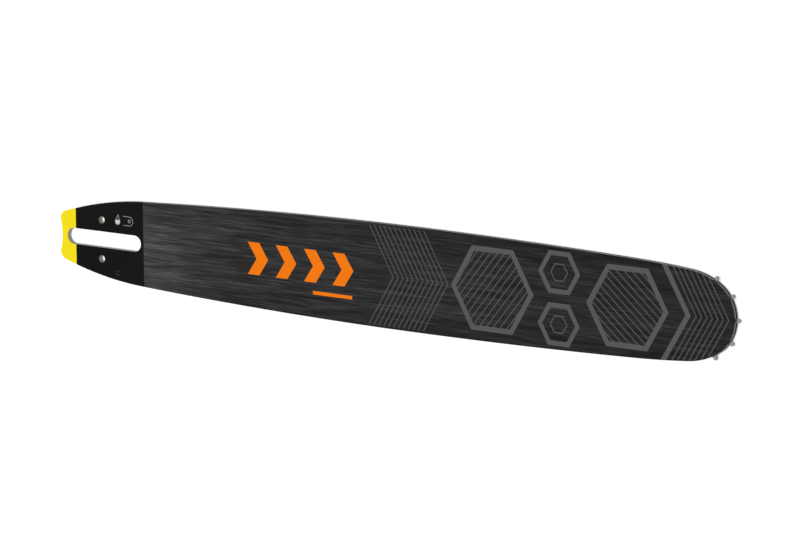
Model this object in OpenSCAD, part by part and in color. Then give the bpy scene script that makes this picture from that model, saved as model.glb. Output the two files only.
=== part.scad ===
// Chainsaw guide bar: three laminated plates with a chain groove all round the edge, and a
// toothed nose wheel that turns on needle rollers. It lies flat on its rear face. X runs from
// the tail to the nose, Y across the bar, Z through it. The origin is midway between the two
// adjuster holes, on the rear face.

/* [Chain] */
// Distance between neighbouring chain rivets
chain_pitch = 9.525; // [9.3:0.005:10.3]
// Width of the groove that the drive links run in
groove_w = 1.6; // [1.3:0.05:2]
// Depth of the groove below the rails
groove_depth = 8; // [7:0.1:8.4]
// How far the rails lie below the line of the chain rivets
rail_drop = 4.81; // [4.2:0.01:5.6]

/* [Plates] */
// Thickness of each side plate
side_t = 1.55; // [1.2:0.05:2.2]
// Distance from the adjuster holes to the centre of the nose wheel
nose_x = 521.4; // [400:0.1:640]
// How much higher the widest part of the edge lies than the rail at the nose
crown_rise = 9.4; // [7:0.1:12]
// Distance from the adjuster holes to the widest part
crown_x = 277; // [220:1:300]
// Fall of the long edge's curve from the widest part back to the adjuster holes
rear_drop = 8.38; // [5:0.01:9]
// Fall of the edge from the widest part forward to the taper
front_drop = 3.34; // [2:0.01:4]

/* [Nose outline] */
// Length of the taper in front of the long edge, up to the nose centre
taper_l = 51.4; // [40:0.1:60]
// Radius of the taper's edge
taper_r = 727; // [500:1:1200]
// Angle from the bar's axis at which the round nose begins
nose_a = 60; // [45:1:75]

/* [Tail outline] */
// Distance from the adjuster holes to the tips of the tail
tail_x = 39.6; // [36:0.1:50]
// Radius of the tail's two corners
tail_corner_r = 6; // [4:0.1:8]
// Depth of the hollow in the end of the tail
tail_hollow = 1.65; // [0.8:0.05:2.4]
// Radius of the shoulder that narrows the bar towards the tail
shoulder_r = 290; // [220:1:400]
// Distance of an adjuster hole's centre from the edge of the plate
edge_margin = 12.5; // [11.8:0.1:13.4]

/* [Stud slot] */
// Width of the slot for the clamping studs
slot_w = 12.2; // [8:0.1:13]
// Length of the slot from end to end
slot_l = 70.2; // [55:0.1:85]
// Metal left between the slot and the hollow of the tail
tail_wall = 4.95; // [3:0.05:8]

/* [Holes] */
// Diameter of the two holes for the chain adjuster's pin
adjuster_d = 5.6; // [4.5:0.1:7]
// Distance between the centres of the adjuster holes
adjuster_spacing = 29.6; // [26:0.1:31]
// Diameter of the oil inlet in each side plate
oil_d = 3; // [1.5:0.1:3.5]
// Distance from the adjuster holes to the oil inlet
oil_x = 15.7; // [10:0.1:25]
// Distance of the oil inlet's rim from the bottom of the groove
oil_margin = 0.8; // [0.2:0.1:2]

/* [Nose wheel] */
// Number of teeth
teeth = 11; // [10:1:13]
// Clearance of the nose wheel on each side in the groove
wheel_play = 0.15; // [0.05:0.01:0.25]
// How far the tooth tips stay below the line of the chain rivets
tip_drop = 1.46; // [1:0.01:2]
// Width of a tooth at its rounded tip
tip_w = 2.8; // [2:0.1:3.6]
// Depth of the gullets between the teeth
gullet_depth = 11.3; // [9:0.1:12]
// Radius at the bottom of a gullet
gullet_r = 3.8; // [2.5:0.1:4.2]

/* [Bearing] */
// Radius of the inner race
race_r = 11.5; // [9:0.1:12]
// Diameter of a needle roller
roller_d = 2.4; // [2:0.1:2.8]
// Smallest gap between neighbouring rollers
roller_gap = 0.05; // [0.03:0.01:0.2]
// Radial running clearance of the rollers in each race
run_gap = 0.02; // [0.01:0.01:0.05]

/* [Rivets] */
// Number of rivets that clamp the inner race between the side plates
rivet_n = 4; // [3:1:6]
// Diameter of a rivet's shank
rivet_d = 3.2; // [2.5:0.1:4]
// Diameter of a rivet's flush head
rivet_head_d = 5; // [4.4:0.1:6]
// Depth of a rivet's countersunk head
rivet_head_h = 0.7; // [0.5:0.05:1]
// Radius of the circle that the rivets stand on
rivet_ring_r = 6.6; // [6:0.1:8]
// Clearance of a rivet in its holes
rivet_gap = 0.03; // [0.02:0.01:0.1]

/* [Hidden] */

// Thickness through the three plates
bar_t = 2 * side_t + groove_w;
// Thickness of the nose wheel and its rollers
wheel_t = groove_w - 2 * wheel_play;
// Gap between the core plate and the tooth tips
core_gap = 1;
// Spare length of a cutting shape past the face that it cuts
cut = 1;
// Longest straight step on a drawn arc
arc_step = 6;
// Fewest steps on a drawn circle
least_steps = 48;
// Sizes of the long arcs are rounded down to this step
long_grid = 0.01;
// Centres of the other arcs are rounded down to this step
fine_grid = 0.001;
// How far a tighter arc's piece reaches in below the wider arc beside it
overlap = 2;
// How far a cut stays clear of the point where two arcs touch
touch_gap = 0.1;

// Value rounded down to whole steps
function to_grid(v, grid) = floor(v / grid) * grid;
// Point rounded down to whole fine steps
function to_fine(p) = [to_grid(p.x, fine_grid), to_grid(p.y, fine_grid)];
// Radius of an arc that starts level and falls by drop over the distance run
function fall_r(run, drop) = to_grid((run * run + drop * drop) / (2 * drop), long_grid);
// Height of the circle of centre c and radius r at the distance x
function edge_y(c, r, x) = c.y + sqrt(r * r - (x - c.x) ^ 2);
// Unit vector from one point towards another
function toward(a, b) = (b - a) / norm(b - a);
// Point of the circle of centre c and radius r that lies in the direction of p
function on_arc(c, r, p) = c + r * toward(c, p);
// Where circles of centres a and b and radii ra and rb cross, on the right of the way from a to b
function crossing(a, ra, b, rb) =
    let (d = norm(b - a), along = (ra ^ 2 - rb ^ 2 + d ^ 2) / (2 * d), u = toward(a, b))
    a + along * u + sqrt(ra ^ 2 - along ^ 2) * [u.y, -u.x];
// Number of steps on a circle of radius r
function steps(r) = max(least_steps, 4 * ceil(PI * r / (2 * arc_step)));

// Line of the chain rivets, rails and tooth tips round the nose
pitch_r = chain_pitch / (2 * sin(90 / teeth));
nose_r = pitch_r - rail_drop;
tip_r = pitch_r - tip_drop;
nose_c = [nose_x, 0];

// Half the greatest height of the bar
half_h = to_grid(nose_r + crown_rise, long_grid);

// Long edge from the crown back to the shoulder
rear_edge_r = fall_r(crown_x, rear_drop);
rear_edge_c = [crown_x, half_h - rear_edge_r];

// Long edge from the crown forward to the taper
taper_x = nose_x - taper_l;
front_edge_r = fall_r(taper_x - crown_x, front_drop);
front_edge_c = [crown_x, half_h - front_edge_r];
taper_p = [taper_x, edge_y(front_edge_c, front_edge_r, taper_x)];

// Shoulder, tangent to the long edge, that passes the adjuster holes at their margin
margin_p = [0, adjuster_spacing / 2 + edge_margin];
shoulder_c = to_fine(crossing(rear_edge_c, rear_edge_r - shoulder_r, margin_p, shoulder_r));
shoulder_p = on_arc(rear_edge_c, rear_edge_r, shoulder_c);

// Taper, tangent to the long edge
taper_c = to_fine(taper_p + taper_r * toward(taper_p, front_edge_c));

// Arc that joins the taper to the round nose, tangent to both
nose_dir = [cos(nose_a), sin(nose_a)];
nose_room = taper_r - nose_r;
nose_off = nose_c - taper_c;
blend_grow = (nose_room ^ 2 - nose_off * nose_off) / (2 * (nose_room - nose_dir * nose_off));
blend_r = nose_r + blend_grow;
blend_c = nose_c - blend_grow * nose_dir;
blend_p = on_arc(taper_c, taper_r, blend_c);
nose_p = nose_c + nose_r * nose_dir;

// Corner of the tail, inside the shoulder and tangent to it
corner_x = tail_corner_r - tail_x;
corner_c = [corner_x, edge_y(shoulder_c, shoulder_r - tail_corner_r, corner_x)];
corner_p = on_arc(shoulder_c, shoulder_r, corner_c);

// Hollow of the tail, outside the corners and tangent to them
hollow_r = (corner_c.y ^ 2 + tail_hollow ^ 2) / (2 * tail_hollow) - tail_corner_r;
hollow_c = [tail_hollow - tail_x - hollow_r, 0];
hollow_p = on_arc(hollow_c, hollow_r, corner_c);

// Ends of the stud slot
slot_back_x = tail_hollow - tail_x + tail_wall;
slot_front_x = slot_back_x + slot_l;

// Oil inlet, just above the bottom of the groove
oil_y = edge_y(shoulder_c, shoulder_r, oil_x) - groove_depth + oil_margin + oil_d / 2;

// Needle rollers between the two races
roller_ring_r = race_r + run_gap + roller_d / 2;
wheel_bore_r = roller_ring_r + roller_d / 2 + run_gap;
roller_n = floor(180 / asin((roller_d + roller_gap) / (2 * roller_ring_r)));

// Teeth of the nose wheel
tooth_a = 360 / teeth;
tooth_land_r = tip_r - tip_w / 2;
gullet_c = [tip_r - gullet_depth + gullet_r, 0];
flank_a = tooth_a / 2 - asin(tip_w / 2 / tooth_land_r);
flank_p = tooth_land_r * [cos(flank_a), sin(flank_a)];
flank_off = flank_p - gullet_c;
root_a = atan2(flank_off.y, flank_off.x) + acos(gullet_r / norm(flank_off));
root_p = gullet_c + gullet_r * [cos(root_a), sin(root_a)];
gullet_reach = 1.3;

// The stretch of the bar between x0 and x1 whose two edges are arcs of centre c and radius r
module stretch(c, r, x0, x1) {
    intersection() {
        translate([x0, -half_h - cut]) square([x1 - x0, 2 * (half_h + cut)]);
        translate(c) circle(r, $fn = steps(r));
        translate([c.x, -c.y]) circle(r, $fn = steps(r));
    }
}

// The bar from the distance back_x to the taper, with its edges moved in by inset
module long_stretches(inset, back_x) {
    shoulder_at = on_arc(rear_edge_c, rear_edge_r - inset, shoulder_p).x;
    taper_at = on_arc(front_edge_c, front_edge_r - inset, taper_p).x;
    stretch(shoulder_c, shoulder_r - inset, back_x, shoulder_at + overlap);
    stretch(rear_edge_c, rear_edge_r - inset, shoulder_at, crown_x + overlap);
    stretch(front_edge_c, front_edge_r - inset, crown_x, taper_at);
}

// Round corners of the tail and the metal between them
module tail_end() {
    fill_y = hollow_p.y - touch_gap;
    for (side = [-1, 1])
        translate([corner_c.x, side * corner_c.y]) circle(tail_corner_r, $fn = least_steps);
    translate([-tail_x - cut, -fill_y]) square([tail_corner_r + cut, 2 * fill_y]);
}

// The hollow in the end of the tail
module tail_hollow_cut() {
    translate(hollow_c) circle(hollow_r, $fn = steps(hollow_r));
}

// Round nose, and the taper that leads to it
module nose_end() {
    stretch(taper_c, taper_r, taper_x - overlap, blend_p.x);
    stretch(blend_c, blend_r, blend_p.x - overlap, nose_p.x);
    translate(nose_c) circle(nose_r, $fn = 2 * least_steps);
}

module bar_outline() {
    difference() {
        tail_end();
        tail_hollow_cut();
    }
    long_stretches(0, corner_p.x + touch_gap);
    nose_end();
}

// Slot and adjuster holes, which go through all three plates
module mounting_holes() {
    half_slot = slot_w / 2;
    translate([slot_back_x + half_slot, 0]) circle(half_slot, $fn = steps(half_slot));
    translate([slot_front_x - half_slot, 0]) circle(half_slot, $fn = steps(half_slot));
    translate([slot_back_x + half_slot, -half_slot]) square([slot_l - slot_w, slot_w]);
    for (side = [-1, 1])
        translate([0, side * adjuster_spacing / 2]) circle(d = adjuster_d, $fn = least_steps);
}

// Places the children at each rivet of the nose
module at_rivets() {
    for (i = [0 : rivet_n - 1])
        translate(nose_c) rotate((i + 0.5) * 360 / rivet_n) translate([rivet_ring_r, 0]) children();
}

// A rivet with flush countersunk heads, or the hole for it when grow is its clearance
module rivet(grow) {
    shank_r = rivet_d / 2 + grow;
    head_r = rivet_head_d / 2 + grow;
    cylinder(bar_t, r = shank_r, $fn = least_steps);
    cylinder(rivet_head_h, head_r, shank_r, $fn = least_steps);
    translate([0, 0, bar_t - rivet_head_h]) cylinder(rivet_head_h, shank_r, head_r, $fn = least_steps);
}

// A side plate at height z; oil_side is the edge that its oil inlet lies near
module side_plate(z, oil_side) {
    difference() {
        translate([0, 0, z]) linear_extrude(side_t) difference() {
            bar_outline();
            mounting_holes();
            translate([oil_x, oil_side * oil_y]) circle(d = oil_d, $fn = least_steps);
        }
        at_rivets() rivet(rivet_gap);
    }
}

module front_side_plate() {
    color("#26272a") side_plate(side_t + groove_w, -1);
}

module rear_side_plate() {
    color("#26272a") side_plate(0, 1);
}

// Middle plate, set back from the edges so that the chain groove is left open
module core_plate() {
    taper_at = on_arc(front_edge_c, front_edge_r - groove_depth, taper_p).x;
    color("#8c8f92") translate([0, 0, side_t]) linear_extrude(groove_w) difference() {
        union() {
            long_stretches(groove_depth, -tail_x - cut);
            stretch(taper_c, taper_r - groove_depth, taper_at - overlap, nose_x);
        }
        tail_hollow_cut();
        mounting_holes();
        translate(nose_c) circle(tip_r + core_gap, $fn = steps(tip_r));
    }
}

// Space between two teeth, on the X axis: a round root with straight flanks
module gullet() {
    translate(gullet_c) circle(gullet_r, $fn = least_steps);
    polygon([root_p, flank_p, gullet_reach * flank_p, gullet_reach * [flank_p.x, -flank_p.y],
        [flank_p.x, -flank_p.y], [root_p.x, -root_p.y]]);
}

module wheel_outline() {
    difference() {
        circle(tooth_land_r, $fn = steps(tip_r));
        for (i = [0 : teeth - 1])
            rotate((i + 0.5) * tooth_a) gullet();
        circle(wheel_bore_r, $fn = 2 * least_steps);
    }
    for (i = [0 : teeth - 1])
        rotate(i * tooth_a) translate([tooth_land_r, 0]) circle(d = tip_w, $fn = least_steps / 2);
}

module nose_wheel() {
    color("#8f938f") translate([nose_x, 0, (bar_t - wheel_t) / 2]) linear_extrude(wheel_t) wheel_outline();
}

module needle_rollers() {
    color("#c9ccd0") for (i = [0 : roller_n - 1])
        translate([nose_x, 0, (bar_t - wheel_t) / 2]) rotate((i + 0.5) * 360 / roller_n)
            translate([roller_ring_r, 0, 0]) cylinder(wheel_t, d = roller_d, $fn = least_steps / 2);
}

// Disc that the rollers run on, clamped between the side plates
module inner_race() {
    color("#a4a7aa") difference() {
        translate([nose_x, 0, side_t]) cylinder(groove_w, r = race_r, $fn = 2 * least_steps);
        at_rivets() rivet(rivet_gap);
    }
}

module nose_rivets() {
    color("#303134") at_rivets() rivet(0);
}

front_side_plate();
rear_side_plate();
core_plate();
nose_wheel();
needle_rollers();
inner_race();
nose_rivets();
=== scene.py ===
"""Chainsaw guide bar: surfaces, print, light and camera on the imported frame.

Lengths are in mm and angles in radians unless a comment says otherwise.
"""
import math

import bpy
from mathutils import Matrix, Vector
from mathutils.geometry import delaunay_2d_cdt

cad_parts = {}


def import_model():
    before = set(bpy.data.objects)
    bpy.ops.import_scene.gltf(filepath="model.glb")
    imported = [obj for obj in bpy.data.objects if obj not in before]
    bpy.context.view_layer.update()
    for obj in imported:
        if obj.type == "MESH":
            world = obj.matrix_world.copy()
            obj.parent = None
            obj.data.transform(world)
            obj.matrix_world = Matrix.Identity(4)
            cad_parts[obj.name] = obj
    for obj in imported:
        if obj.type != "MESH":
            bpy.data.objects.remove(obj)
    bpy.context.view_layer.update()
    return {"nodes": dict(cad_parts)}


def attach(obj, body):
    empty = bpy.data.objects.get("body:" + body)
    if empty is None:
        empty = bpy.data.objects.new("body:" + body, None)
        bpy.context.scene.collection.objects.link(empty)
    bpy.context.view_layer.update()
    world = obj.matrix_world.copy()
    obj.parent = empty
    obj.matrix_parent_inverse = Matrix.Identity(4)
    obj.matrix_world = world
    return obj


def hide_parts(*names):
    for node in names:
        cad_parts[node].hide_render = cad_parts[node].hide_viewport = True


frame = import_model()

MM = 0.001

# The sizes that part.scad drives the outline with
NOSE_X, NOSE_R = 521.4, 28.6545
HALF_H = 38.05
CROWN_X, REAR_DROP, FRONT_DROP = 277.0, 8.38, 3.34
TAPER_X, TAPER_R = 470.0, 727.0
NOSE_A = math.radians(60)
SHOULDER_R, MARGIN_Y = 290.0, 27.3
TAIL_X, CORNER_R, HOLLOW = 39.6, 6.0, 1.65
SLOT_X0, SLOT_X1, SLOT_R = -33.0, 37.2, 6.1
ADJUST_Y, ADJUST_R = 14.8, 2.8
OIL_X, OIL_Y, OIL_R = 15.7, 24.08, 1.5
SIDE_T, BAR_T = 1.55, 4.7
RIVET_RING, RIVET_R, RIVET_N = 6.6, 1.6, 4

# Countersunk head of a rivet: radius and height
RIVET_HEAD_R, RIVET_HEAD_H = 2.45, 0.7
# Thickness of the printed ink, which ends flush with the frame's faces
INK = 0.02
FACE_Z, INK_Z = BAR_T - INK, BAR_T
# Broken edge along the rails and rounding of the holes
BEVEL, HOLE_EDGE = 0.12, 0.1
# Width of an oil inlet's rounded edge, which takes the paler brushed coat as a painted highlight
# of the glint on that edge
OIL_GLINT_RING = 0.3
# Where the coats meet: x on the centre line, lean in mm for each mm of y, half the bar's height
PAINT_EDGE = (-24.7, -0.0125, 23.5)
COAT_EDGE = (39.9, -0.0138, 32)


# Outline


def polar(c, r, a):
    return Vector((c[0] + r * math.cos(a), c[1] + r * math.sin(a)))


def angle(a, b):
    return math.atan2(b[1] - a[1], b[0] - a[0])


def bar_arcs():
    """Arcs of the upper half from the nose to the tail.

    Each is centre, radius, start, end, side (-1 for a hollow arc) and length of one step.
    """
    rear_r = (CROWN_X**2 + REAR_DROP**2) / (2 * REAR_DROP)
    rear_c = Vector((CROWN_X, HALF_H - rear_r))
    run = TAPER_X - CROWN_X
    front_r = (run**2 + FRONT_DROP**2) / (2 * FRONT_DROP)
    front_c = Vector((CROWN_X, HALF_H - front_r))
    taper_p = Vector((TAPER_X, front_c.y + math.sqrt(front_r**2 - run**2)))
    taper_c = taper_p + TAPER_R * (front_c - taper_p).normalized()
    nose_c, nose_dir = Vector((NOSE_X, 0)), Vector((math.cos(NOSE_A), math.sin(NOSE_A)))
    room, off = TAPER_R - NOSE_R, nose_c - taper_c
    grow = (room**2 - off.dot(off)) / (2 * (room - nose_dir.dot(off)))
    blend_c = nose_c - grow * nose_dir
    margin_p = Vector((0, MARGIN_Y))
    way = margin_p - rear_c
    d, reach = way.length, rear_r - SHOULDER_R
    along = (reach**2 - SHOULDER_R**2 + d * d) / (2 * d)
    u = way / d
    shoulder_c = rear_c + along * u + math.sqrt(reach**2 - along**2) * Vector((u.y, -u.x))
    corner_x = CORNER_R - TAIL_X
    span = math.sqrt((SHOULDER_R - CORNER_R) ** 2 - (corner_x - shoulder_c.x) ** 2)
    corner_c = Vector((corner_x, shoulder_c.y + span))
    hollow_r = (corner_c.y**2 + HOLLOW**2) / (2 * HOLLOW) - CORNER_R
    hollow_c = Vector((HOLLOW - TAIL_X - hollow_r, 0))
    a_blend, a_taper = angle(taper_c, blend_c), angle(front_c, taper_p)
    a_shoulder, a_corner = angle(rear_c, shoulder_c), angle(shoulder_c, corner_c)
    a_hollow = angle(hollow_c, corner_c)
    return [
        (nose_c, NOSE_R, 0, NOSE_A, 1, 0.8),
        (blend_c, NOSE_R + grow, NOSE_A, a_blend, 1, 1.2),
        (taper_c, TAPER_R, a_blend, a_taper, 1, 4),
        (front_c, front_r, a_taper, math.pi / 2, 1, 6),
        (rear_c, rear_r, math.pi / 2, a_shoulder, 1, 6),
        (shoulder_c, SHOULDER_R, a_shoulder, a_corner, 1, 3),
        (corner_c, CORNER_R, a_corner, math.pi + a_hollow, 1, 0.4),
        (hollow_c, hollow_r, a_hollow, 0, -1, 1.2),
    ]


def edge_x(edge, y):
    """Where a coat's edge is at the height y."""
    x, lean, _ = edge
    return x + lean * y


ARCS = bar_arcs()
COAT_ENDS = [edge_x(edge, y) for edge in (PAINT_EDGE, COAT_EDGE) for y in (edge[2], -edge[2])]


def bar_loop(inset):
    """The whole outline moved in by inset, anticlockwise from the tip of the nose."""
    half = []
    for c, r, a0, a1, side, step in ARCS:
        n = max(2, math.ceil(abs(a1 - a0) * r / step))
        stops = [a0 + (a1 - a0) * i / n for i in range(n)]
        ends = [math.acos((x - c[0]) / r) for x in COAT_ENDS if side > 0 and abs(x - c[0]) < r]
        stops += [a for a in ends if min(a0, a1) < a < max(a0, a1)]
        half += [polar(c, r - side * inset, a) for a in sorted(stops, reverse=a1 < a0)]
    c, r, _, _, side, _ = ARCS[-1]
    tail = polar(c, r - side * inset, 0)
    return half + [tail] + [Vector((p.x, -p.y)) for p in reversed(half[1:])]


def circle_loop(x, y, r, n=40):
    return [polar((x, y), r, 2 * math.pi * i / n) for i in range(n)]


def slot_loop(grow=0.0):
    n, r = 28, SLOT_R + grow
    right = [polar((SLOT_X1 - SLOT_R, 0), r, math.pi * (i / n - 0.5)) for i in range(n + 1)]
    left = [polar((SLOT_X0 + SLOT_R, 0), r, math.pi * (i / n + 0.5)) for i in range(n + 1)]
    return right + left


def inside(p, loop):
    """Whether the point p is inside the loop."""
    hit = False
    for a, b in zip(loop, loop[1:] + loop[:1]):
        if (a.y > p.y) != (b.y > p.y) and p.x < a.x + (p.y - a.y) * (b.x - a.x) / (b.y - a.y):
            hit = not hit
    return hit


def clip(poly, convex):
    """The part of a polygon inside a convex, anticlockwise loop."""
    for a, b in zip(convex, convex[1:] + convex[:1]):
        way = b - a
        depth = [way.x * (p.y - a.y) - way.y * (p.x - a.x) for p in poly]
        kept = []
        for i, p in enumerate(poly):
            j = (i + 1) % len(poly)
            if depth[i] >= 0:
                kept.append(p)
            if (depth[i] < 0) != (depth[j] < 0):
                kept.append(p + (poly[j] - p) * depth[i] / (depth[i] - depth[j]))
        poly = kept
        if not poly:
            break
    return poly


# Meshes


def number(mat, p):
    """The material number at p, where mat is a number or a function that gives one."""
    return mat(p) if callable(mat) else mat


class Shell:
    """Collects faces with a material number each, and makes one object of them."""

    # Points nearer than this are one: in mm for the flat faces, in metres for the weld
    SAME_MM, SAME_M = 1e-5, 1e-7
    # Sharper edges than this stay sharp
    CREASE = math.radians(30)

    def __init__(self):
        self.verts, self.faces, self.mats = [], [], []

    def face(self, pts, mat=0):
        n = len(self.verts)
        self.verts += [(x * MM, y * MM, z * MM) for x, y, z in pts]
        self.faces.append(tuple(range(n, n + len(pts))))
        self.mats.append(mat)

    def wall(self, low, z0, high, z1, mat=0, flip=False):
        """Band between two loops of as many points; anticlockwise ones make it face outwards."""
        n = len(low)
        for i in range(n):
            j = (i + 1) % n
            quad = [(*low[i], z0), (*low[j], z0), (*high[j], z1), (*high[i], z1)]
            self.face(quad[::-1] if flip else quad, number(mat, (low[i] + low[j]) / 2))

    def fill(self, outer, holes, z, up, mat, cuts=()):
        """Flat face inside outer and outside the holes; its triangles keep to the cuts."""
        pts, edges = [], []
        for loop in [outer, *holes]:
            n = len(pts)
            pts += loop
            edges += [(n + i, n + (i + 1) % len(loop)) for i in range(len(loop))]
        for a, b in cuts:
            edges.append((len(pts), len(pts) + 1))
            pts += [Vector(a), Vector(b)]
        v, _, faces, *_ = delaunay_2d_cdt(pts, edges, [], 0, self.SAME_MM)
        for f in faces:
            tri = [v[i] for i in f]
            mid = sum(tri, Vector((0, 0))) / len(tri)
            if not inside(mid, outer) or any(inside(mid, h) for h in holes):
                continue
            area = sum(a.x * b.y - b.x * a.y for a, b in zip(tri, tri[1:] + tri[:1]))
            if (area > 0) != up:
                tri.reverse()
            self.face([(*p, z) for p in tri], number(mat, mid))

    def plaque(self, loop, mat=0):
        """Ink over a convex loop on the front face."""
        self.face([(*p, INK_Z) for p in loop], mat)
        self.wall(loop, FACE_Z, loop, INK_Z, mat)

    def ring(self, outer, inner, mat=0):
        """Ink between two loops with as many points on the front face."""
        self.wall(outer, INK_Z, inner, INK_Z, mat)
        self.wall(outer, FACE_Z, outer, INK_Z, mat)
        self.wall(inner, FACE_Z, inner, INK_Z, mat, flip=True)

    def make(self, name, materials, smooth=False):
        mesh = bpy.data.meshes.new(name)
        mesh.from_pydata(self.verts, [], self.faces)
        for m in materials:
            mesh.materials.append(m)
        mesh.polygons.foreach_set("material_index", self.mats)
        obj = bpy.data.objects.new(name, mesh)
        bpy.context.scene.collection.objects.link(obj)
        weld = obj.modifiers.new("weld", "WELD")
        weld.merge_threshold = self.SAME_M
        if smooth:
            mesh.polygons.foreach_set("use_smooth", [True] * len(mesh.polygons))
            split = obj.modifiers.new("split", "EDGE_SPLIT")
            split.split_angle = self.CREASE
        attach(obj, "bar")
        return obj


# Materials


class Surface:
    """A node material on the object's own coordinates, which are in metres."""

    def __init__(self, name, rough, metal=0.0, spec=0.5):
        self.mat = bpy.data.materials.new(name)
        self.mat.use_nodes = True
        self.tree = self.mat.node_tree
        self.shader = self.tree.nodes["Principled BSDF"]
        self.shader.inputs["Roughness"].default_value = rough
        self.shader.inputs["Metallic"].default_value = metal
        self.shader.inputs["Specular IOR Level"].default_value = spec
        self.place = self.tree.nodes.new("ShaderNodeTexCoord").outputs["Object"]

    def node(self, kind, **inputs):
        n = self.tree.nodes.new(kind)
        for key, value in inputs.items():
            self.put(n.inputs[key], value)
        return n

    def put(self, socket, value):
        if isinstance(value, bpy.types.NodeSocket):
            self.tree.links.new(value, socket)
        else:
            socket.default_value = value

    def math(self, op, a, b=0.0):
        n = self.tree.nodes.new("ShaderNodeMath")
        n.operation = op
        self.put(n.inputs[0], a)
        self.put(n.inputs[1], b)
        return n.outputs[0]

    def blend(self, *parts):
        """Sum of values, each given with its weight."""
        total = self.math("MULTIPLY", *parts[0])
        for value, weight in parts[1:]:
            total = self.math("ADD", total, self.math("MULTIPLY", value, weight))
        return total

    def axis(self, name):
        return self.node("ShaderNodeSeparateXYZ", Vector=self.place).outputs[name]

    def noise(self, scale, detail, rough, seed):
        """Noise that repeats about scale times a metre along X, Y and Z; seed moves it."""
        move = (seed, seed * 1.7, seed * 0.6)
        m = self.node("ShaderNodeMapping", Vector=self.place, Scale=scale, Location=move)
        n = self.node("ShaderNodeTexNoise", Vector=m.outputs[0], Scale=1.0,
                      Detail=detail, Roughness=rough)
        return n.outputs["Fac"]

    def ramp(self, value, low, high, out0, out1, smooth=False):
        n = self.tree.nodes.new("ShaderNodeMapRange")
        n.interpolation_type = "SMOOTHSTEP" if smooth else "LINEAR"
        keys = ("Value", "From Min", "From Max", "To Min", "To Max")
        for key, v in zip(keys, (value, low, high, out0, out1)):
            self.put(n.inputs[key], v)
        return n.outputs[0]

    def tint(self, colour, strength):
        """Colour times a strength that varies over the surface."""
        n = self.node("ShaderNodeVectorMath", Vector=colour)
        n.operation = "SCALE"
        self.put(n.inputs["Scale"], strength)
        self.put(self.shader.inputs["Base Color"], n.outputs[0])

    def rough(self, value):
        self.put(self.shader.inputs["Roughness"], value)

    def bump(self, height, distance, strength):
        n = self.node("ShaderNodeBump", Height=height, Distance=distance, Strength=strength)
        self.put(self.shader.inputs["Normal"], n.outputs[0])


def srgb(*levels):
    """Linear colour of three sRGB levels from 0 to 255."""
    return tuple(v / 255 / 12.92 if v <= 10 else ((v / 255 + 0.055) / 1.055) ** 2.4
                 for v in levels)


WHITE = (1, 1, 1)


def brushed_coat():
    """Dark coat over steel that was brushed along the bar, with a painted sheen that is brighter
    near the tail and fades towards the nose.
    """
    s = Surface("brushed_dark_coat", rough=0.5, spec=0.05)
    broad = s.noise((11, 240, 240), 2.0, 0.5, 3.1)
    streak = s.noise((30, 800, 800), 3.0, 0.6, 7.7)
    fine = s.noise((80, 2300, 2300), 2.0, 0.6, 1.3)
    mix = s.blend((streak, 1.0), (broad, 0.35), (fine, 0.6))
    # Squared, so that the pale streaks stand out more than the dark ones
    level = s.ramp(mix, 0.7, 1.25, 0.0, 2.0)
    wave = s.math("ADD", s.math("MULTIPLY", s.math("MULTIPLY", level, level), 0.5), 0.44)
    # Painted sheen: the colour is brighter near the tail and darker towards the nose, in place of
    # the light's reflection; it is also darker towards both rails
    x, y = s.axis("X"), s.math("ABSOLUTE", s.axis("Y"))
    sheen_near = s.ramp(x, 0.041, 0.13, 0.050, 0.0255)
    sheen_far = s.ramp(x, 0.13, 0.52, 0.0, 0.0105)
    painted_sheen = s.math("SUBTRACT", sheen_near, sheen_far)
    edge = s.ramp(y, 0.018, 0.037, 1.0, 0.72, smooth=True)
    s.tint(WHITE, s.math("MULTIPLY", s.math("MULTIPLY", painted_sheen, edge), wave))
    s.rough(s.ramp(mix, 0.7, 1.25, 0.58, 0.42))
    s.bump(mix, 0.00002, 0.5)
    return s.mat


def lacquer():
    """Smooth black lacquer with a trace of orange peel."""
    s = Surface("black_lacquer", rough=0.42, spec=0.04)
    peel = s.noise((700, 700, 700), 2.0, 0.5, 4.2)
    cloud = s.noise((18, 18, 18), 2.0, 0.5, 9.4)
    s.tint(WHITE, s.ramp(cloud, 0.3, 0.7, 0.0026, 0.0046))
    s.rough(s.ramp(cloud, 0.3, 0.7, 0.38, 0.46))
    s.bump(peel, 0.00001, 0.4)
    return s.mat


def paint(name, colour, spec):
    """Printed or sprayed paint, slightly uneven."""
    s = Surface(name, rough=0.42, spec=spec)
    cloud = s.noise((60, 60, 60), 3.0, 0.5, 2.6)
    peel = s.noise((900, 900, 900), 2.0, 0.5, 6.1)
    s.tint(colour, s.ramp(cloud, 0.25, 0.75, 0.96, 1.04))
    s.bump(peel, 0.000008, 0.4)
    return s.mat


def steel(name, colour, rough=0.38, scratch=(160, 160, 2600)):
    """Bare steel with slight staining and fine marks along the axis where scratch is lowest."""
    s = Surface(name, rough=rough, metal=1.0)
    marks = s.noise(scratch, 3.0, 0.6, 5.5)
    stain = s.noise((70, 70, 70), 4.0, 0.6, 8.2)
    mix = s.blend((marks, 0.6), (stain, 0.4))
    s.tint(colour, s.ramp(mix, 0.3, 0.7, 0.78, 1.2))
    s.rough(s.ramp(marks, 0.3, 0.7, rough - 0.08, rough + 0.12))
    s.bump(marks, 0.00001, 0.5)
    return s.mat


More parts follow.
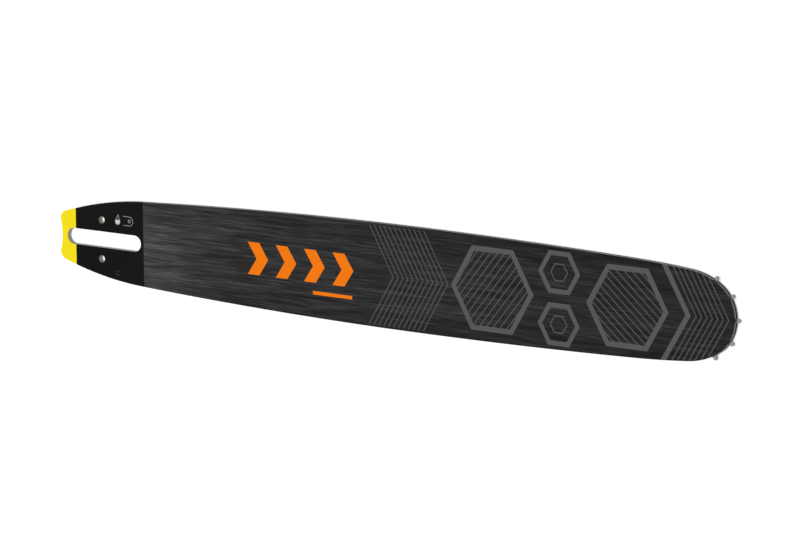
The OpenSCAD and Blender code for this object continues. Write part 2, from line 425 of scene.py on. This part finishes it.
BRUSHED = brushed_coat()
LACQUER = lacquer()
YELLOW = paint("yellow_paint", srgb(246, 224, 14), 0.12)
ORANGE = paint("orange_ink", srgb(239, 118, 0), 0.08)
GREY_BOLD = paint("grey_ink", srgb(84, 84, 84), 0.05)
GREY_THIN = paint("pale_grey_ink", srgb(82, 82, 82), 0.05)
WHITE_INK = paint("white_ink", srgb(206, 206, 206), 0.1)
SILVER_INK = paint("silver_ink", srgb(152, 152, 152), 0.1)
RAIL = steel("ground_steel_rail", (0.16, 0.16, 0.16))
CUT = steel("cut_steel_wall", (0.28, 0.26, 0.22), 0.45, (1800, 1800, 120))
CORE = steel("core_steel", (0.25, 0.235, 0.21), 0.5)
WHEEL = steel("hardened_wheel_steel", (0.15, 0.162, 0.155), 0.42, (900, 900, 900))
BEARING = steel("ground_bearing_steel", (0.6, 0.6, 0.62), 0.22, (300, 300, 2400))


# Side plates

# Material numbers on a side plate
BARE, SHEARED, BLACK, PAINTED, DARK = range(5)


def face_coat(p):
    """Which coat covers the point p of a side plate's face."""
    if p.x < edge_x(PAINT_EDGE, p.y):
        return PAINTED
    return BLACK if p.x < edge_x(COAT_EDGE, p.y) else DARK


def rim_coat(p):
    """The tail's coats go round the rim; further on the chain keeps it bare."""
    coat = face_coat(p)
    return BARE if coat == DARK else coat


def coat_cut(edge):
    """A coat's edge as a line that reaches past both rims."""
    return [(edge_x(edge, y), y) for y in (-45, 45)]


def side_plate(name, node, z_in, z_out, oil_y):
    """Steel side plate; its outer face carries three coats."""
    up = z_out > z_in
    out = 1 if up else -1
    face_z = z_out - out * INK
    lip_z, soft_z = face_z - out * BEVEL, face_z - out * HOLE_EDGE
    rim, inner = bar_loop(0), bar_loop(BEVEL)
    # Each hole: its loop, its rounded loop, the coats of its wall and of its rounding
    holes = []
    for y in (ADJUST_Y, -ADJUST_Y):
        rounded = circle_loop(0, y, ADJUST_R + HOLE_EDGE)
        holes.append((circle_loop(0, y, ADJUST_R), rounded, SHEARED, face_coat))
    # An oil inlet's wall and wide rounding take the paler brushed coat, which on the rounding is
    # a painted highlight of its edge
    rounded = circle_loop(OIL_X, oil_y, OIL_R + OIL_GLINT_RING, 32)
    holes.append((circle_loop(OIL_X, oil_y, OIL_R, 32), rounded, DARK, DARK))
    holes.append((slot_loop(), slot_loop(HOLE_EDGE), SHEARED, face_coat))
    s = Shell()
    s.wall(rim, z_in, rim, lip_z, rim_coat, flip=not up)
    s.wall(rim, lip_z, inner, face_z, face_coat, flip=not up)
    for bore, rounded, wall_coat, edge_coat in holes:
        s.wall(bore, z_in, bore, soft_z, wall_coat, flip=up)
        s.wall(bore, soft_z, rounded, face_z, edge_coat, flip=up)
    s.fill(rim, [hole[0] for hole in holes], z_in, not up, BARE)
    cuts = [coat_cut(PAINT_EDGE), coat_cut(COAT_EDGE)]
    s.fill(inner, [hole[1] for hole in holes], face_z, up, face_coat, cuts)
    obj = s.make(name, [RAIL, CUT, LACQUER, YELLOW, BRUSHED], smooth=True)
    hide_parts(node)


side_plate("front_plate", "front_side_plate", BAR_T - SIDE_T, BAR_T, -OIL_Y)
side_plate("rear_plate", "rear_side_plate", SIDE_T, 0, OIL_Y)


def rivets():
    """Rivets whose heads end under the coat."""
    s = Shell()
    low, high = 2 * INK, BAR_T - 2 * INK
    for i in range(RIVET_N):
        c = polar((NOSE_X, 0), RIVET_RING, 2 * math.pi * (i + 0.5) / RIVET_N)
        shank, head = circle_loop(*c, RIVET_R), circle_loop(*c, RIVET_HEAD_R)
        s.wall(head, low, shank, low + RIVET_HEAD_H)
        s.wall(shank, low + RIVET_HEAD_H, shank, high - RIVET_HEAD_H)
        s.wall(shank, high - RIVET_HEAD_H, head, high)
        s.face([(*p, high) for p in head])
        s.face([(*p, low) for p in reversed(head)])
    obj = s.make("rivet_set", [BEARING], smooth=True)
    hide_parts("nose_rivets")


rivets()

for node, mat in (("core_plate", CORE), ("nose_wheel", WHEEL),
                  ("needle_rollers", BEARING), ("inner_race", BEARING)):
    mesh = frame["nodes"][node].data
    mesh.materials.clear()
    mesh.materials.append(mat)


# Print on the front face

# The part of the face that the grey print may cover, in front of x and up to the broken edge
FIELD_X = 200
PRINT_FIELD = [p for p in bar_loop(BEVEL) if p.x > FIELD_X]
# Half the root of 3: how far the flats of a hexagon of radius 1 are from its middle
FLAT = 0.866
# Grey print: widths of its lines, distance between the hatching and between the folded lines
BOLD_W, CELL_W, THIN_W = 3.8, 3.4, 0.75
HATCH_GAP, FOLD_GAP = 4.4, 4.3
# Material numbers of the grey print and of the pictograms
BOLD, THIN = 0, 1
SOLID, OUTLINE = 0, 1


def ribbon(s, a, b, width):
    """Straight printed line from a to b."""
    a, b = Vector(a), Vector(b)
    side = Vector((a.y - b.y, b.x - a.x)).normalized() * width / 2
    s.plaque([a - side, b - side, b + side, a + side])


def strip(s, pts, width, mat):
    """Printed line along a path, one quad for each step."""
    left, right = [], []
    for i, p in enumerate(pts):
        a, b = pts[max(i - 1, 0)], pts[min(i + 1, len(pts) - 1)]
        side = Vector((a.y - b.y, b.x - a.x)).normalized() * width / 2
        left.append(p + side)
        right.append(p - side)
    for i in range(len(pts) - 1):
        s.plaque([right[i], right[i + 1], left[i + 1], left[i]], mat)


def hexagon(c, r):
    return [polar(c, r, math.pi / 3 * i) for i in range(6)]


def hatch(s, middle, poly, direction):
    """Thin parallel lines inside a convex polygon, one of them through its middle."""
    along = Vector((math.cos(direction), math.sin(direction)))
    across = Vector((-along.y, along.x))
    reach = max((p - middle).length for p in poly)
    count = int(reach / HATCH_GAP)
    for i in range(-count, count + 1):
        c, half = middle + across * HATCH_GAP * i, across * THIN_W / 2
        a, b = c - along * reach, c + along * reach
        part = clip([a - half, b - half, b + half, a + half], poly)
        if len(part) > 2:
            s.plaque(part, THIN)


def chevrons():
    """Plain orange chevrons and a bar below them."""
    s = Shell()
    low, high, lean, width = -11.5, 12.5, 8.0, 10.5
    first_x, gap, count = 137, 25.5, 4
    fold = (low + high) / 2
    for i in range(count):
        x = first_x + gap * i
        tip = [Vector((x + lean, fold)), Vector((x + width + lean, fold))]
        s.plaque([Vector((x, low)), Vector((x + width, low)), *reversed(tip)])
        s.plaque([*tip, Vector((x + width, high)), Vector((x, high))])
    ribbon(s, (196, -19), (231, -19), 2.6)
    s.make("orange_chevrons", [ORANGE])


def arrow_line(s, tip, width, mat):
    """Line that folds at the middle of the bar and runs back past both rims."""
    back, reach, half = Vector((-0.5, FLAT)), 42, width / 2 / FLAT
    for side in (1, -1):
        end, aside = Vector((tip + reach * back.x, side * reach * back.y)), Vector((half, 0))
        quad = [Vector((tip - half, 0)), Vector((tip + half, 0)), end + aside, end - aside]
        part = clip(quad if side > 0 else quad[::-1], PRINT_FIELD)
        if len(part) > 2:
            s.plaque(part, mat)


def honeycomb():
    """Bold hexagons with straight hatching, between folded lines."""
    s = Shell()
    for x, r, direction in ((352, 35, 0.9), (464, 33.5, -0.7)):
        middle = Vector((x, 0))
        window = hexagon(middle, r - BOLD_W / FLAT)
        s.ring(hexagon(middle, r), window, BOLD)
        hatch(s, middle, window, direction)
    cell_r, core_r, core_w = 17.5, 7.35, 1.0
    for y in (18.5, -18.5):
        middle = (408, y)
        s.ring(hexagon(middle, cell_r), hexagon(middle, cell_r - CELL_W / FLAT), BOLD)
        s.ring(hexagon(middle, core_r), hexagon(middle, core_r - core_w), THIN)
    # Folded lines: x of the first tip, how many, width and material number
    for first_x, count, width, mat in (
            (267, 12, THIN_W, THIN), (513, 1, BOLD_W, BOLD), (519.5, 7, THIN_W, THIN)):
        for i in range(count):
            arrow_line(s, first_x + FOLD_GAP * i, width, mat)
    s.make("grey_honeycomb", [GREY_BOLD, GREY_THIN])


def pictograms():
    """A half full drop and the outline of a bar's nose."""
    s = Shell()
    # The drop: centre and radius of its round part, half its line, and height of the oil in it
    low, r, half, oil = Vector((15.4, 15.15)), 2.2, 0.24, 1.35
    # Its tip, as distance and direction from the centre, and half the angle that the tip takes up
    tip_d, tip_a = 5.2155, math.atan2(5.2, 0.4)
    touch, steps = math.acos(r / tip_d), 24

    def arc(radius, start, turn):
        return [polar(low, radius, start + turn * i / steps) for i in range(steps + 1)]

    def drop(radius):
        tip = polar(low, tip_d * radius / r, tip_a)
        return [tip, *arc(radius, tip_a + touch, 2 * (math.pi - touch))]

    s.ring(drop(r + half), drop(r - half), OUTLINE)
    lift = math.asin(oil / (r - half))
    s.plaque(arc(r - half, math.pi - lift, math.pi + 2 * lift), SOLID)
    # The nose: a line round its bend from one end to the other, and a ring for its wheel
    bend_c, bend_r, bend_n, line_w = (26.5, 16.25), 3.35, 20, 0.42
    ends = Vector((20.5, 19.75)), Vector((20.7, 12.85))
    turns = [math.pi / 2 - math.pi * i / bend_n for i in range(bend_n + 1)]
    strip(s, [ends[0], *(polar(bend_c, bend_r, a) for a in turns), ends[1]], line_w, OUTLINE)
    wheel, wheel_r, hole_r = (26.45, 16.35), 1.3, 0.8
    s.ring(circle_loop(*wheel, wheel_r, 24), circle_loop(*wheel, hole_r, 24), OUTLINE)
    s.make("oil_pictograms", [WHITE_INK, SILVER_INK])


chevrons()
honeycomb()
pictograms()


# Floor, light and camera, in metres and watts

FLOOR_HALF, FLOOR_Z, FLOOR_GLOW = 6.0, -0.00005, 0.45
WORLD_LIGHT = 0.45
LAMP_PLACE, LAMP_TARGET, LAMP_SIZE, LAMP_POWER = (0.25, 0.1, 1.7), (0.25, 0, 0), (2.2, 1.8), 23
CAMERA_PLACE = (2.000557, 0.555978, 2.486562)
# In degrees
CAMERA_TURN = (-10.11664, 34.87972, 0.25654)
# In millimetres
LENS, SENSOR = 193.5, 36


def seen_directly(tree):
    """1 for camera, mirror and see-through rays, 0 for the rays that light the object."""
    path = tree.nodes.new("ShaderNodeLightPath")
    total = path.outputs["Is Camera Ray"]
    for name in ("Is Glossy Ray", "Is Transmission Ray"):
        n = tree.nodes.new("ShaderNodeMath")
        n.operation = "MAXIMUM"
        tree.links.new(total, n.inputs[0])
        tree.links.new(path.outputs[name], n.inputs[1])
        total = n.outputs[0]
    return total


def floor():
    """White floor that glows a little for the camera and takes the object's shadow."""
    mesh = bpy.data.meshes.new("floor")
    signs = ((-1, -1), (1, -1), (1, 1), (-1, 1))
    corners = [(x * FLOOR_HALF, y * FLOOR_HALF, FLOOR_Z) for x, y in signs]
    mesh.from_pydata(corners, [], [(0, 1, 2, 3)])
    obj = bpy.data.objects.new("floor", mesh)
    bpy.context.scene.collection.objects.link(obj)
    mat = bpy.data.materials.new("white_floor")
    mat.use_nodes = True
    tree = mat.node_tree
    shader = tree.nodes["Principled BSDF"]
    shader.inputs["Base Color"].default_value = (0.8, 0.8, 0.8, 1)
    shader.inputs["Roughness"].default_value = 0.9
    shader.inputs["Specular IOR Level"].default_value = 0.0
    shader.inputs["Emission Color"].default_value = (1, 1, 1, 1)
    n = tree.nodes.new("ShaderNodeMath")
    n.operation = "MULTIPLY"
    tree.links.new(seen_directly(tree), n.inputs[0])
    n.inputs[1].default_value = FLOOR_GLOW
    tree.links.new(n.outputs[0], shader.inputs["Emission Strength"])
    mesh.materials.append(mat)


def world():
    """White where it is seen directly, and a softer light on the object."""
    w = bpy.data.worlds.new("studio")
    bpy.context.scene.world = w
    w.use_nodes = True
    tree = w.node_tree
    back = tree.nodes["Background"]
    back.inputs["Color"].default_value = (1, 1, 1, 1)
    n = tree.nodes.new("ShaderNodeMapRange")
    tree.links.new(seen_directly(tree), n.inputs["Value"])
    n.inputs["To Min"].default_value = WORLD_LIGHT
    n.inputs["To Max"].default_value = 1.0
    tree.links.new(n.outputs[0], back.inputs["Strength"])


def softbox():
    """Wide lamp above the object."""
    data = bpy.data.lights.new("overhead", "AREA")
    data.shape = "RECTANGLE"
    data.size, data.size_y = LAMP_SIZE
    data.energy = LAMP_POWER
    obj = bpy.data.objects.new("overhead", data)
    bpy.context.scene.collection.objects.link(obj)
    obj.location = LAMP_PLACE
    way = Vector(LAMP_TARGET) - Vector(LAMP_PLACE)
    obj.rotation_euler = way.to_track_quat("-Z", "Y").to_euler()


def camera():
    data = bpy.data.cameras.new("photo_camera")
    data.sensor_width = SENSOR
    data.lens = LENS
    data.clip_start, data.clip_end = 0.1, 30
    obj = bpy.data.objects.new("photo_camera", data)
    bpy.context.scene.collection.objects.link(obj)
    obj.location = CAMERA_PLACE
    obj.rotation_euler = [math.radians(a) for a in CAMERA_TURN]
    bpy.context.scene.camera = obj


floor()
world()
softbox()
camera()
bpy.context.scene.view_settings.view_transform = "Standard"
